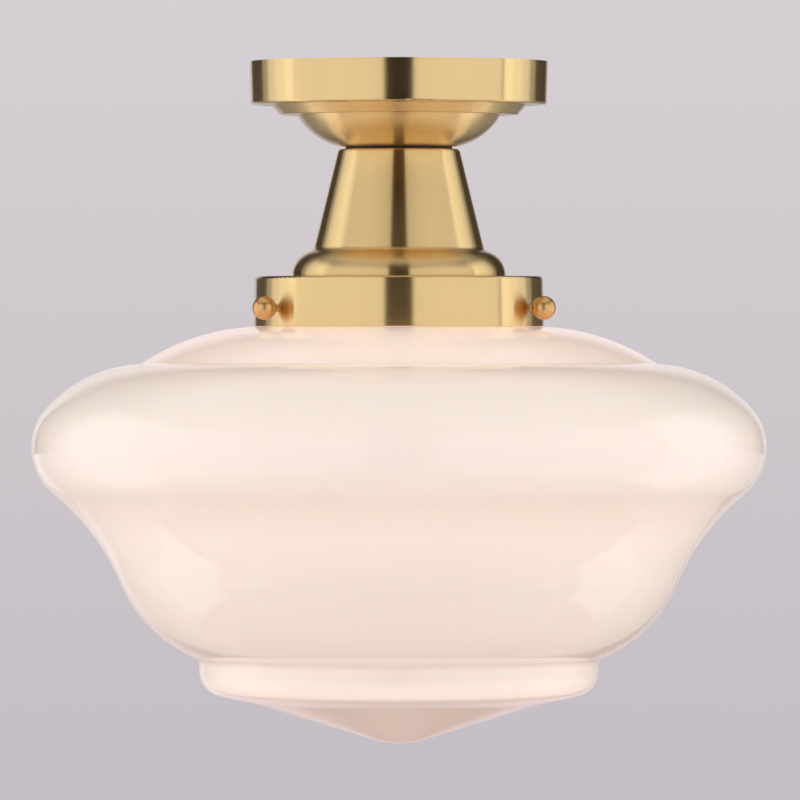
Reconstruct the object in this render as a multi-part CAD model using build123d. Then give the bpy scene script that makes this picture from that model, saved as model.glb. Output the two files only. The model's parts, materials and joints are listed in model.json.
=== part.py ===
from build123d import *
import os
from math import asin, cos, degrees, radians, sin, sqrt

# Semi flush ceiling light with an opal glass shade. Sizes in millimetres.
# The origin is the centre of the ceiling plane, +Z is up and the light hangs below it.

# ---------------------------------------------------------------- driving dimensions

# Clearances
thread_clearance = 0.05      # radial, screw in its nut or tapped hole
running_clearance = 0.05     # radial, a pin that turns in its hole
touch_gap = 0.3              # between a soft or curved piece and what it rests on

# Ceiling canopy, spun from sheet
canopy_wall = 1.0
canopy_radius = 81.2
canopy_rim_height = 2.0
canopy_band_draft = 0.6
canopy_band_height = 23.3
canopy_edge_round = 1.2
step_radius = 69.9
step_foot_radius = 64.9
step_height = 5.6
step_round = 0.8
dome_mouth_radius = 55.4
dome_floor_radius = 31.4
dome_height = 17.4
dome_round = 35.2

# Thin black washer that shows as the dark gap between canopy and neck
gap_washer_radius = 29.0
gap_height = 1.3

# Tapered neck with an ogee foot, spun from sheet
neck_wall = 1.0
neck_height = 69.3
neck_top_radius = 33.1
neck_top_round = 1.8
taper_foot_radius = 46.8
taper_height = 55.3
ogee_radius = 58.2
ogee_round = 13.2
ogee_throat_round = 3.0
ogee_band_height = 0.9

# Shade fitter, a spun pan
fitter_wall = 1.2
lip_clearance = 2.9          # from the shade's lip to the fitter's band
fitter_flare = 0.6           # that the band widens towards its mouth
fitter_height = 27.0
fitter_edge_round = 1.4

# Opal glass shade: neck, shoulder, belly, waist, hip, bottom ring and pointed base
glass_wall = 3.0
shade_neck_radius = 70.5
shade_lip_width = 3.9        # that the lip stands out from the neck
shade_lip_round = 2.0
shade_neck_height = 23.2
neck_foot_round = 3.2
shoulder_round = 119.8
shoulder_crease_round = 4.0  # in the valley between shoulder and bulge
shade_radius = 200.0
belly_depth = 66.2
belly_round = 32.9
bulge_round = 73.4
bulge_join = 43.1            # degrees up from level, where bulge and belly meet
waist_round = 116.8
waist_join = 51.5            # degrees down from level, where belly and waist meet
hip_round = 78.7
hip_join = 22.5              # degrees up from level, where waist and hip meet
ring_radius = 108.8
ring_crease_round = 4.0      # in the crease between hip and ring
ring_side_height = 3.3       # of the ring's straight side, from the crease to the ring's round edge
ring_round = 13.6
ring_turn = 75.0             # degrees that the ring's edge turns before it flattens
underside_round = 180.0
base_crease_place = 89.5     # from the axis to the centre of the crease's round
base_crease_round = 50.0     # in the shallow crease between underside and base
base_height = 39.5           # from the centre of the ring's round edge down to the tip
base_tip_round = 47.0
shade_gap = 0.2              # from the fitter's mouth down to the shoulder

# Thumbscrews that hold the shade by its neck
screw_angles = (-150, -30, 90)
screw_drop = 17.3            # below the top of the fitter
shank_radius = 2.085
ball_radius = 6.5
ball_stand = 8.1             # ball centre from the fitter's band
boss_radius = 5.0
boss_length = 2.4
pad_radius = 2.0
pad_length = 3.0
spigot_radius = 1.2
spigot_length = 1.6

# Strap that the ceiling box's screws hold
strap_length = 106.0
strap_width = 20.0
strap_thickness = 2.0
strap_corner = 4.0
slot_spacing = 79.4
slot_length = 14.3
slot_width = 4.6
ground_screw_place = 24.0
ground_screw_radius = 2.0
ground_head_radius = 4.0
ground_head_height = 2.6
ground_screw_reach = 1.4     # into the strap, above the head

# Threaded tube, nuts and hickey on the axis
tube_radius = 5.1
tube_bore = 3.4
nut_across = 15.0
nut_height = 4.0
nipple_reach = 13.0
nipple_sink = 0.5
hickey_top = 9.0             # below the ceiling
hickey_height = 22.0
hickey_length = 26.0
hickey_width = 16.0
hickey_wall = 3.0
hickey_plate = 4.0
canopy_washer_radius = 12.0
washer_height = 1.0
stem_end_reach = 1.6         # stem past the lower nut

# Socket bracket and its spacer
spacer_radius = 12.0
spacer_height = 3.0
bracket_length = 96.0
bracket_width = 24.0
bracket_thickness = 1.6
bracket_corner = 6.0
lower_nut_height = 5.0

# Lampholders
holder_place = 32.0
holder_radius = 19.0
holder_waist_radius = 17.6
holder_height = 48.0
holder_edge_round = 1.5
chamber_depth = 8.0
chamber_width = 12.4
chamber_length = 9.0         # from the holder's axis, away from the stem
floor_thickness = 8.0
cavity_radius = 14.4
cavity_round = 0.3
shell_radius = 13.95
shell_wall = 0.5
shell_length = 26.0
shell_flange_bore = 9.0
tongue_width = 6.0
tongue_length = 12.0
tongue_rise = 3.0
tongue_thickness = 0.5
fixing_spread = 9.0
fixing_radius = 1.6
fixing_length = 10.0
fixing_head_radius = 3.0
fixing_head_height = 2.0
terminal_spread = 3.0
terminal_place = 1.0
terminal_radius = 1.5
terminal_head_radius = 2.6
terminal_head_height = 2.4
terminal_reach = 5.0

# Bulbs
bulb_radius = 30.0
bulb_length = 107.0
bulb_glass_wall = 1.0
bulb_neck_radius = 12.4
bulb_neck_end = 31.0         # from the contact to where the glass flares
bulb_flare_join = 24.0       # degrees up from level, where flare and globe meet
base_radius = 13.05
base_wall = 0.5
base_end = 27.0              # from the contact
base_overlap = 3.0
contact_radius = 4.5
contact_height = 1.5
insulator_height = 3.5

# Leads and twist-on connectors
lead_radius = 1.1
lead_spread = 1.3            # of each lead from the stem's axis, along X and along Y
lead_bend = 4.0
lead_slack = 9.5             # that the leads hang below the stem's end
live_level = 21.1            # below the ceiling, where the live leads leave the stem
neutral_level = 15.9
ground_level = 19.0
connector_spacing = 17.0
connector_place = 34.0
connector_length = 24.0
connector_mouth_radius = 5.8
connector_tip_radius = 3.6
connector_bore = 3.6
connector_bore_depth = 12.0
ground_lead_radius = 0.8

# ---------------------------------------------------------------- radii round the shade's neck

shade_lip_radius = shade_neck_radius + shade_lip_width
fitter_top_radius = shade_lip_radius + lip_clearance + fitter_wall
fitter_mouth_radius = fitter_top_radius + fitter_flare
ball_reach = fitter_mouth_radius + ball_stand

# ---------------------------------------------------------------- heights of the stack

canopy_step = -canopy_band_height
dome_mouth = canopy_step - step_height
dome_floor = dome_mouth - dome_height
neck_top = dome_floor - gap_height
fitter_top = neck_top - neck_height
fitter_mouth = fitter_top - fitter_height
plate_underside = fitter_top - fitter_wall
bracket_top = plate_underside - spacer_height
bracket_underside = bracket_top - bracket_thickness
stem_end = bracket_underside - lower_nut_height - stem_end_reach
hickey_foot = -hickey_top - hickey_height
stem_start = hickey_foot + hickey_plate + nipple_sink
screw_height = fitter_top - screw_drop

# ---------------------------------------------------------------- outlines and simple solids


def at(radius, height):
    """A point of an outline, in the plane through the axis."""
    return Vector(radius, 0, height)


def toward(centre, reach, angle):
    """The point at a distance from a centre, at an angle in degrees up from level."""
    return centre + Vector(reach * cos(radians(angle)), 0, reach * sin(radians(angle)))


def bend(centre, radius, start, end):
    """Arc about a centre, less than a half turn, from start to end."""
    middle = (start - centre).normalized() + (end - centre).normalized()
    return ThreePointArc(start, centre + middle.normalized() * radius, end)


def circles_meet(first, first_radius, second, second_radius):
    """Where two circles cross, on the left hand of the way from the first centre to the second."""
    way = second - first
    along = (first_radius**2 - second_radius**2 + way.length**2) / (2 * way.length)
    aside = sqrt(first_radius**2 - along**2)
    way = way.normalized()
    return first + way * along + Vector(-way.Z, 0, way.X) * aside


def below(centre, radius, place):
    """The point of a circle's lower half at a distance from the axis."""
    return at(place, centre.Z - sqrt(radius**2 - (place - centre.X)**2))


def line_meets_circle(point, angle, centre, radius):
    """Where a line from a point, at an angle in degrees, leaves a circle."""
    way = toward(at(0, 0), 1, angle)
    back = point - centre
    along = -back.dot(way) + sqrt(back.dot(way)**2 - back.length**2 + radius**2)
    return point + way * along


def facing_point(centre, other, radius):
    """The point of a circle that faces another centre."""
    return centre + (other - centre).normalized() * radius


def slope_of_tangent(point, centre, radius):
    """Slope in degrees of the line from a point outwards that touches a circle on its underside."""
    way = point - centre
    return Vector(1, 0, 0).get_signed_angle(way, Vector(0, -1, 0)) + degrees(asin(radius / way.length))


def chain(points):
    """Straight edges from point to point."""
    return [Line(start, end) for start, end in zip(points, points[1:])]


def turned(edges):
    """The solid turned about the axis by a closed outline."""
    return revolve(make_face(edges), Axis.Z)


def spun(outline, wall):
    """Sheet of one wall thickness, spun to an outline drawn on its outside from rim to hole."""
    sheet = offset(Wire(outline), amount=wall, side=Side.RIGHT)
    return turned(sheet.edges())


def rod(radius, low, high):
    """Upright cylinder between two heights."""
    return Pos(0, 0, low) * Cylinder(radius, high - low, align=(Align.CENTER, Align.CENTER, Align.MIN))


def plate(length, width, low, high, corner):
    """Flat bar with rounded corners between two heights."""
    return Pos(0, 0, low) * extrude(RectangleRounded(length, width, corner), high - low)


def hex_nut(low, height):
    """Hexagon nut on the threaded tube."""
    blank = Pos(0, 0, low) * extrude(RegularPolygon(nut_across / 2, 6, major_radius=False), height)
    return blank - rod(tube_radius + thread_clearance, low, low + height)


def lead(points, bends, radius):
    """Wire along straight runs joined by arcs."""
    path = FilletPolyline(*points, radius=bends)
    return sweep(Plane(path @ 0, z_dir=path % 0) * Circle(radius), path=path)


def radial(shape, angle):
    """Lays a piece drawn along +Z out along a thumbscrew's line."""
    return Rot(0, 0, angle) * Pos(0, 0, screw_height) * Rot(0, 90, 0) * shape


# ---------------------------------------------------------------- spun brass


def canopy():
    """Ceiling cover: band, stepped underside and dome with a flat floor."""
    band = FilletPolyline(
        at(canopy_radius, 0),
        at(canopy_radius, -canopy_rim_height),
        at(canopy_radius - canopy_band_draft, canopy_step),
        at(step_radius, canopy_step),
        at(step_foot_radius, dome_mouth),
        at(dome_mouth_radius, dome_mouth),
        radius=(canopy_edge_round, canopy_edge_round, step_round, step_round),
    )
    dome_start = at(dome_mouth_radius, dome_mouth)
    dome_end = at(dome_floor_radius, dome_floor)
    dome_centre = circles_meet(dome_end, dome_round, dome_start, dome_round)
    dome = bend(dome_centre, dome_round, dome_start, dome_end)
    floor = Line(dome_end, at(tube_radius + touch_gap, dome_floor))
    return spun([*band.edges(), dome, floor], canopy_wall)


def neck():
    """Tapered neck: flat top, straight taper, hollow throat and ogee foot."""
    taper_foot = at(taper_foot_radius, neck_top - taper_height)
    top_corner = at(neck_top_radius, neck_top)
    taper_angle = Vector(1, 0, 0).get_angle(taper_foot - top_corner)
    ogee_height = fitter_top + ogee_band_height
    ogee_centre = at(ogee_radius - ogee_round, ogee_height)
    throat_start = toward(top_corner, ogee_throat_round, 90 - taper_angle)
    throat_centre = line_meets_circle(
        throat_start, 180 - taper_angle, ogee_centre, ogee_round + ogee_throat_round)
    throat_top = toward(throat_centre, ogee_throat_round, 270 - taper_angle)
    throat_foot = facing_point(throat_centre, ogee_centre, ogee_throat_round)
    taper = FilletPolyline(
        at(tube_radius + touch_gap, neck_top), top_corner, throat_top, radius=neck_top_round)
    ogee_foot = at(ogee_radius, ogee_height)
    outline = [
        *taper.edges(),
        bend(throat_centre, ogee_throat_round, throat_top, throat_foot),
        bend(ogee_centre, ogee_round, throat_foot, ogee_foot),
        Line(ogee_foot, at(ogee_radius, fitter_top)),
    ]
    return spun(outline, neck_wall)


def fitter():
    """Pan with a drilled band that takes the shade's neck."""
    outline = FilletPolyline(
        at(tube_radius + touch_gap, fitter_top),
        at(fitter_top_radius, fitter_top),
        at(fitter_mouth_radius, fitter_mouth),
        radius=fitter_edge_round,
    )
    pan = spun(outline.edges(), fitter_wall)
    for angle in screw_angles:
        hole = rod(shank_radius + thread_clearance, shade_neck_radius, fitter_mouth_radius + fitter_wall)
        pan -= radial(hole, angle)
    return pan


# ---------------------------------------------------------------- opal glass

shade_top = fitter_mouth - shade_gap
belly_centre = at(shade_radius - belly_round, fitter_mouth - belly_depth)
bulge_centre = toward(belly_centre, bulge_round - belly_round, 180 + bulge_join)
waist_centre = toward(belly_centre, belly_round + waist_round, -waist_join)
hip_centre = toward(waist_centre, waist_round + hip_round, 180 - hip_join)
shoulder_centre = at(shade_neck_radius + neck_foot_round, shade_top - shoulder_round)
neck_foot_centre = at(shade_neck_radius + neck_foot_round, shade_top + neck_foot_round)
shoulder_crease_centre = circles_meet(
    shoulder_centre, shoulder_round + shoulder_crease_round,
    bulge_centre, bulge_round + shoulder_crease_round)
ring_crease_centre = below(hip_centre, hip_round + ring_crease_round, ring_radius + ring_crease_round)
ring_centre = at(ring_radius - ring_round, ring_crease_centre.Z - ring_side_height)
underside_centre = toward(ring_centre, underside_round - ring_round, 180 - ring_turn)
base_crease_centre = below(underside_centre, underside_round + base_crease_round, base_crease_place)
base_tip = ring_centre.Z - base_height
base_tip_centre = at(0, base_tip + base_tip_round)
base_slope = slope_of_tangent(base_crease_centre, base_tip_centre, base_tip_round + base_crease_round)


def shade_skin(inset):
    """Edges of the shade's skin from the foot of its neck to its tip, drawn inset from the outside."""
    neck_foot = at(shade_neck_radius - inset, neck_foot_centre.Z)
    shoulder_top = at(shoulder_centre.X, shade_top - inset)
    shoulder_foot = facing_point(shoulder_centre, shoulder_crease_centre, shoulder_round - inset)
    bulge_start = facing_point(bulge_centre, shoulder_crease_centre, bulge_round - inset)
    bulge_end = toward(belly_centre, belly_round - inset, bulge_join)
    belly_side = toward(belly_centre, belly_round - inset, 0)
    waist_start = toward(belly_centre, belly_round - inset, -waist_join)
    hip_start = toward(hip_centre, hip_round - inset, -hip_join)
    hip_end = facing_point(hip_centre, ring_crease_centre, hip_round - inset)
    side_top = at(ring_radius - inset, ring_crease_centre.Z)
    side_foot = at(ring_radius - inset, ring_centre.Z)
    ring_end = toward(ring_centre, ring_round - inset, -ring_turn)
    underside_end = facing_point(underside_centre, base_crease_centre, underside_round - inset)
    base_start = toward(base_crease_centre, base_crease_round + inset, base_slope + 90)
    tip_start = toward(base_tip_centre, base_tip_round - inset, base_slope - 90)
    return [
        bend(neck_foot_centre, neck_foot_round + inset, neck_foot, shoulder_top),
        bend(shoulder_centre, shoulder_round - inset, shoulder_top, shoulder_foot),
        bend(shoulder_crease_centre, shoulder_crease_round + inset, shoulder_foot, bulge_start),
        bend(bulge_centre, bulge_round - inset, bulge_start, bulge_end),
        bend(belly_centre, belly_round - inset, bulge_end, belly_side),
        bend(belly_centre, belly_round - inset, belly_side, waist_start),
        bend(waist_centre, waist_round + inset, waist_start, hip_start),
        bend(hip_centre, hip_round - inset, hip_start, hip_end),
        bend(ring_crease_centre, ring_crease_round + inset, hip_end, side_top),
        Line(side_top, side_foot),
        bend(ring_centre, ring_round - inset, side_foot, ring_end),
        bend(underside_centre, underside_round - inset, ring_end, underside_end),
        bend(base_crease_centre, base_crease_round + inset, underside_end, base_start),
        Line(base_start, tip_start),
        bend(base_tip_centre, base_tip_round - inset, tip_start, at(0, base_tip + inset)),
    ]


def shade():
    """Blown glass shade, closed below, with a lip round the top of its neck."""
    lip_base = screw_height + pad_radius + touch_gap
    lip_top = shade_top + shade_neck_height
    bore = shade_neck_radius - glass_wall
    lip = FilletPolyline(
        at(shade_neck_radius, neck_foot_centre.Z),
        at(shade_neck_radius, lip_base),
        at(shade_lip_radius, lip_base),
        at(shade_lip_radius, lip_top),
        at(bore, lip_top),
        at(bore, neck_foot_centre.Z),
        radius=(shade_lip_round / 2, shade_lip_round / 2, shade_lip_round, shade_lip_round),
    )
    tip_wall = Line(at(0, base_tip), at(0, base_tip + glass_wall))
    return turned([*shade_skin(0), tip_wall, *shade_skin(glass_wall), *lip.edges()])


# ---------------------------------------------------------------- thumbscrews

pad_end = shade_neck_radius + touch_gap
screw_end = pad_end + pad_length


def tip_pad():
    """Soft plug on the screw's end, which bears on the glass without turning."""
    plug = rod(pad_radius, pad_end, screw_end)
    socket_end = screw_end - spigot_length - touch_gap
    return plug - rod(spigot_radius + running_clearance, socket_end, screw_end)


def thumbscrew():
    """Screw with a plain ball for a head and a thin spigot at its end."""
    spigot = rod(spigot_radius, screw_end - spigot_length, screw_end)
    shank = rod(shank_radius, screw_end, ball_reach)
    ball = Pos(0, 0, ball_reach) * Sphere(ball_radius)
    return spigot + shank + ball


def fitter_bosses(pan):
    """Threaded bosses brazed inside the fitter's band, one for each screw."""
    boss_end = fitter_mouth_radius - fitter_wall / 2
    boss_start = fitter_top_radius - fitter_wall - boss_length
    boss = rod(boss_radius, boss_start, boss_end)
    boss -= rod(shank_radius + thread_clearance, boss_start, boss_end)
    return Compound([(radial(boss, angle) - pan).solid() for angle in screw_angles])


# ---------------------------------------------------------------- strap, tubes and nuts


def mounting_strap():
    """Bar across the ceiling box: a slot at each end, a tapped centre and a ground screw's hole."""
    bar = plate(strap_length, strap_width, -strap_thickness, 0, strap_corner)
    for side in (-1, 1):
        slot = extrude(SlotOverall(slot_length, slot_width), strap_thickness)
        bar -= Pos(side * slot_spacing / 2, 0, -strap_thickness) * slot
    bar -= rod(tube_radius + thread_clearance, -strap_thickness, 0)
    ground_hole = rod(ground_screw_radius + thread_clearance, -strap_thickness, 0)
    return bar - Pos(ground_screw_place, 0, 0) * ground_hole


def ground_screw():
    """Screw with a flat round head below the strap."""
    head = rod(ground_head_radius, -strap_thickness - ground_head_height, -strap_thickness)
    shank = rod(ground_screw_radius, -strap_thickness, ground_screw_reach - strap_thickness)
    return Pos(ground_screw_place, 0, 0) * (head + shank)


def threaded_tube(low, high):
    """Hollow tube that the leads pass through."""
    return rod(tube_radius, low, high) - rod(tube_bore, low, high)


def hickey():
    """Yoke that joins nipple and stem, open at both sides for the leads."""
    yoke = plate(hickey_length, hickey_width, hickey_foot, -hickey_top, 2)
    window_height = hickey_height - 2 * hickey_plate
    window = Box(hickey_length - 2 * hickey_wall, hickey_width, window_height)
    yoke -= Pos(0, 0, hickey_foot + hickey_height / 2) * window
    return yoke - rod(tube_radius + thread_clearance, hickey_foot, -hickey_top)


def washer(radius, low, high):
    """Plain washer on the threaded tube."""
    return rod(radius, low, high) - rod(tube_radius + touch_gap, low, high)


def socket_bracket():
    """Bar that carries a lampholder at each end, with two screw holes for each."""
    bar = plate(bracket_length, bracket_width, bracket_underside, bracket_top, bracket_corner)
    bar -= rod(tube_radius + touch_gap, bracket_underside, bracket_top)
    for place, side in fixing_places():
        hole = rod(fixing_radius + touch_gap, bracket_underside, bracket_top)
        bar -= Pos(place, side, 0) * hole
    return bar


def fixing_places():
    """Where the fixing screws stand, two for each lampholder."""
    return [(holder_place * end, fixing_spread * side) for end in (-1, 1) for side in (-1, 1)]


# ---------------------------------------------------------------- lampholders

cavity_top = bracket_underside - chamber_depth - floor_thickness
contact_level = cavity_top - tongue_rise - touch_gap
terminal_level = bracket_underside - chamber_depth


def holder_body():
    """Porcelain body: a wiring chamber open above, and a deep cavity below for the screw shell."""
    foot = bracket_underside - holder_height
    outline = FilletPolyline(
        at(0, bracket_underside),
        at(holder_radius, bracket_underside),
        at(holder_waist_radius, terminal_level),
        at(holder_waist_radius, cavity_top),
        at(holder_radius, foot),
        at(cavity_radius, foot),
        at(cavity_radius, cavity_top),
        at(0, cavity_top),
        radius=(holder_edge_round,) * 5 + (cavity_round,),
    )
    body = turned([*outline.edges(), Line(at(0, cavity_top), at(0, bracket_underside))])
    chamber = Box(holder_radius + chamber_length, chamber_width, chamber_depth,
                  align=(Align.MIN, Align.CENTER, Align.MIN))
    body -= Pos(-chamber_length, 0, terminal_level) * chamber
    for side in (-1, 1):
        fixing_hole = rod(fixing_radius + thread_clearance, bracket_underside - fixing_length,
                          bracket_underside)
        body -= Pos(0, side * fixing_spread, 0) * fixing_hole
        terminal_hole = rod(terminal_radius + thread_clearance, terminal_level - terminal_reach,
                            terminal_level)
        body -= Pos(terminal_place, side * terminal_spread, 0) * terminal_hole
    return body


def screw_shell():
    """Brass shell that takes the bulb's screw base, with a flange on the cavity's ceiling."""
    shell = rod(shell_radius, cavity_top - shell_length, cavity_top)
    shell -= rod(shell_radius - shell_wall, cavity_top - shell_length, cavity_top - shell_wall)
    return shell - rod(shell_flange_bore, cavity_top - shell_wall, cavity_top)


def contact_tongue():
    """Springy brass tongue that presses on the bulb's contact."""
    root = -tongue_length / 2
    strip = Polyline(
        at(root, cavity_top - tongue_thickness / 2),
        at(root + tongue_length / 3, cavity_top - tongue_thickness / 2),
        at(root + tongue_length * 2 / 3, cavity_top - tongue_rise + tongue_thickness / 2),
        at(root + tongue_length, cavity_top - tongue_rise + tongue_thickness / 2),
    )
    section = offset(strip, amount=tongue_thickness / 2, side=Side.BOTH)
    face = make_face(section.edges())
    return extrude(face, tongue_width / 2, dir=(0, 1, 0), both=True)


def screws(places, head_radius, head_low, head_high, shank_radius, shank_low):
    """Screws with flat round heads, as a group of separate solids."""
    solids = []
    for place, side in places:
        screw = rod(head_radius, head_low, head_high) + rod(shank_radius, shank_low, head_low)
        solids.append((Pos(place, side, 0) * screw).solid())
    return Compound(solids)


# ---------------------------------------------------------------- bulbs


def bulb_glass():
    """Bulb's envelope: a globe, a flare and a straight neck that sits in the metal base."""
    globe_centre = at(0, contact_level - bulb_length + bulb_radius)
    neck_start = contact_level - base_end + base_overlap
    neck_end = contact_level - bulb_neck_end

    def skin(inset):
        flare_end = toward(globe_centre, bulb_radius - inset, bulb_flare_join)
        globe_side = toward(globe_centre, bulb_radius - inset, 0)
        globe_foot = toward(globe_centre, bulb_radius - inset, -90)
        neck_radius = bulb_neck_radius - inset
        return [
            Line(at(neck_radius, neck_start), at(neck_radius, neck_end)),
            Line(at(neck_radius, neck_end), flare_end),
            bend(globe_centre, bulb_radius - inset, flare_end, globe_side),
            bend(globe_centre, bulb_radius - inset, globe_side, globe_foot),
        ]

    foot = globe_centre.Z - bulb_radius
    rim = Line(at(bulb_neck_radius, neck_start), at(bulb_neck_radius - bulb_glass_wall, neck_start))
    tip_wall = Line(at(0, foot), at(0, foot + bulb_glass_wall))
    return turned([*skin(0), tip_wall, *skin(bulb_glass_wall), rim])


def bulb_base():
    """Bulb's metal screw base."""
    top = contact_level - contact_height - insulator_height
    foot = contact_level - base_end
    return rod(base_radius, foot, top) - rod(base_radius - base_wall, foot, top)


def bulb_insulator():
    """Cone of black glass between the base and the contact."""
    top = contact_level - contact_height
    foot = top - insulator_height
    bore = base_radius - base_wall
    outline = chain([at(0, top), at(contact_radius, top), at(base_radius, foot), at(bore, foot),
                     at(bore, foot - base_overlap), at(0, foot - base_overlap), at(0, top)])
    return turned(outline)


def bulb_contact():
    """Contact button at the bulb's end."""
    return rod(contact_radius, contact_level - contact_height, contact_level)


# ---------------------------------------------------------------- leads and connectors


def socket_lead(end, side, level, place):
    """Lead from a terminal, under the stem's end, up its bore and out to a connector."""
    inside = end * lead_spread
    aside = side * lead_spread
    terminal = end * (holder_place - terminal_place - terminal_head_radius)
    holder_side = end * (holder_place - holder_radius - lead_radius)
    lead_level = terminal_level + terminal_head_height - lead_radius
    slack_level = stem_end - lead_slack
    out_level = inside - level
    mouth = place * connector_spacing
    points = [
        (terminal, side * terminal_spread, lead_level),
        (holder_side, side * terminal_spread, lead_level),
        (inside + end * 2 * lead_bend, aside, slack_level),
        (inside, aside, slack_level),
        (inside, aside, out_level),
        (inside, -hickey_width, out_level),
        (mouth, -connector_place + 2 * lead_bend, out_level),
        (mouth, -connector_place - connector_bore_depth, out_level),
    ]
    return lead(points, lead_bend, lead_radius)


def ground_lead():
    """Bare copper lead from the ground screw to its connector."""
    start_level = -strap_thickness - ground_head_height / 2
    mouth = connector_spacing
    points = [
        (ground_screw_place, -ground_head_radius, start_level),
        (ground_screw_place, -hickey_width, start_level),
        (mouth, -connector_place + 2 * lead_bend, -ground_level),
        (mouth, -connector_place - connector_bore_depth, -ground_level),
    ]
    return lead(points, lead_bend, ground_lead_radius)


def connector(place, level):
    """Twist-on connector: a tapered cap over the bared ends of the leads."""
    cap = turned(chain([
        at(0, 0),
        at(connector_mouth_radius, 0),
        at(connector_mouth_radius, connector_length / 3),
        at(connector_tip_radius, connector_length),
        at(0, connector_length),
        at(0, 0),
    ]))
    cap -= rod(connector_bore, 0, connector_bore_depth)
    spot = Pos(place * connector_spacing, -connector_place, -level)
    return spot * Rot(90, 0, 0) * cap


# ---------------------------------------------------------------- assembly

nodes = {
    "canopy": canopy(),
    "gap_washer": washer(gap_washer_radius, neck_top, dome_floor),
    "neck": neck(),
    "fitter": fitter(),
    "shade": shade(),
    "mounting_strap": mounting_strap(),
    "ground_screw": ground_screw(),
    "strap_nipple": threaded_tube(-nipple_reach, -nipple_sink),
    "strap_locknut": hex_nut(-strap_thickness - nut_height, nut_height),
    "hickey": hickey(),
    "stem": threaded_tube(stem_end, stem_start),
    "canopy_washer": washer(canopy_washer_radius, dome_floor + canopy_wall,
                            dome_floor + canopy_wall + washer_height),
    "canopy_nut": hex_nut(dome_floor + canopy_wall + washer_height, nut_height),
    "spacer": washer(spacer_radius, bracket_top, plate_underside),
    "socket_bracket": socket_bracket(),
    "bracket_nut": hex_nut(bracket_underside - lower_nut_height, lower_nut_height),
    "fixing_screws": screws(fixing_places(), fixing_head_radius, bracket_top,
                            bracket_top + fixing_head_height, fixing_radius,
                            bracket_underside - fixing_length + touch_gap),
    "live_connector": connector(-1, live_level),
    "neutral_connector": connector(0, neutral_level),
    "ground_connector": connector(1, ground_level),
    "ground_lead": ground_lead(),
}
nodes["fitter_bosses"] = fitter_bosses(nodes["fitter"])

for number, angle in enumerate(screw_angles, 1):
    nodes[f"thumbscrew_{number}"] = radial(thumbscrew(), angle)
    nodes[f"tip_pad_{number}"] = radial(tip_pad(), angle)

for number, end in ((1, -1), (2, 1)):
    facing = Pos(end * holder_place, 0, 0) * Rot(0, 0, 0 if end < 0 else 180)
    terminals = [(terminal_place, side * terminal_spread) for side in (-1, 1)]
    nodes[f"lampholder_{number}"] = facing * holder_body()
    nodes[f"screw_shell_{number}"] = facing * screw_shell()
    nodes[f"contact_tongue_{number}"] = facing * contact_tongue()
    nodes[f"terminal_screws_{number}"] = facing * screws(
        terminals, terminal_head_radius, terminal_level, terminal_level + terminal_head_height,
        terminal_radius, terminal_level - terminal_reach + touch_gap)
    nodes[f"bulb_{number}_glass"] = facing * bulb_glass()
    nodes[f"bulb_{number}_base"] = facing * bulb_base()
    nodes[f"bulb_{number}_insulator"] = facing * bulb_insulator()
    nodes[f"bulb_{number}_contact"] = facing * bulb_contact()
    nodes[f"live_lead_{number}"] = socket_lead(end, -1, live_level, -1)
    nodes[f"neutral_lead_{number}"] = socket_lead(end, 1, neutral_level, 0)

os.makedirs("parts", exist_ok=True)
for name, shape in nodes.items():
    export_step(shape, f"parts/{name}.step")
    print(f"{name}: {shape.volume:.0f} mm3")
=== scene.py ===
import json
from cmath import phase, rect
from math import asin, ceil, cos, degrees, pi, radians, sin, sqrt, tan

import bmesh
import bpy
from mathutils import Matrix, Vector


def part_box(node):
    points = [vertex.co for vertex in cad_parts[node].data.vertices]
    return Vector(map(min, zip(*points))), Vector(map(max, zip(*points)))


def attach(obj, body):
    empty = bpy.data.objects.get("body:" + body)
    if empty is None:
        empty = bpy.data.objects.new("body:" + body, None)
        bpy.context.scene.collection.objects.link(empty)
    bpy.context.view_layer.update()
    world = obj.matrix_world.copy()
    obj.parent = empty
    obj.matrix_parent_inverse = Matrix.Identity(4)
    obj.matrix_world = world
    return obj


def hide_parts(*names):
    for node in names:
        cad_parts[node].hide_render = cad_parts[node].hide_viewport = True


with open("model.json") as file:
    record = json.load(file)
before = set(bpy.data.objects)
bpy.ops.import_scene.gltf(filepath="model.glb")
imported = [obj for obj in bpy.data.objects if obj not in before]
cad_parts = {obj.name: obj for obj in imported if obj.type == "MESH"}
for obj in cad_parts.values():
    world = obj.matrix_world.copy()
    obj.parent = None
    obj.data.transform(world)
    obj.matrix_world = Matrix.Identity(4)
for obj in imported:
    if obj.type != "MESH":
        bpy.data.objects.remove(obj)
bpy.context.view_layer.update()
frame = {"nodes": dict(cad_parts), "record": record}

# Sizes are in metres, in the frame of the light: the origin is the centre of the ceiling plane.
MM = 0.001

# ---------------------------------------------------------------- camera

PHOTO_WIDTH = 800            # pixels
SENSOR = 36.0                # millimetres
FOCAL_PIXELS = 9520
CAMERA_DISTANCE = 5.18
CAMERA_HEIGHT = -0.157
CAMERA_TURN = radians(-3.8)
CAMERA_REACH = 60
AIM_HEIGHT = -0.1841
AIM_ASIDE = 0.0006


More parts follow.
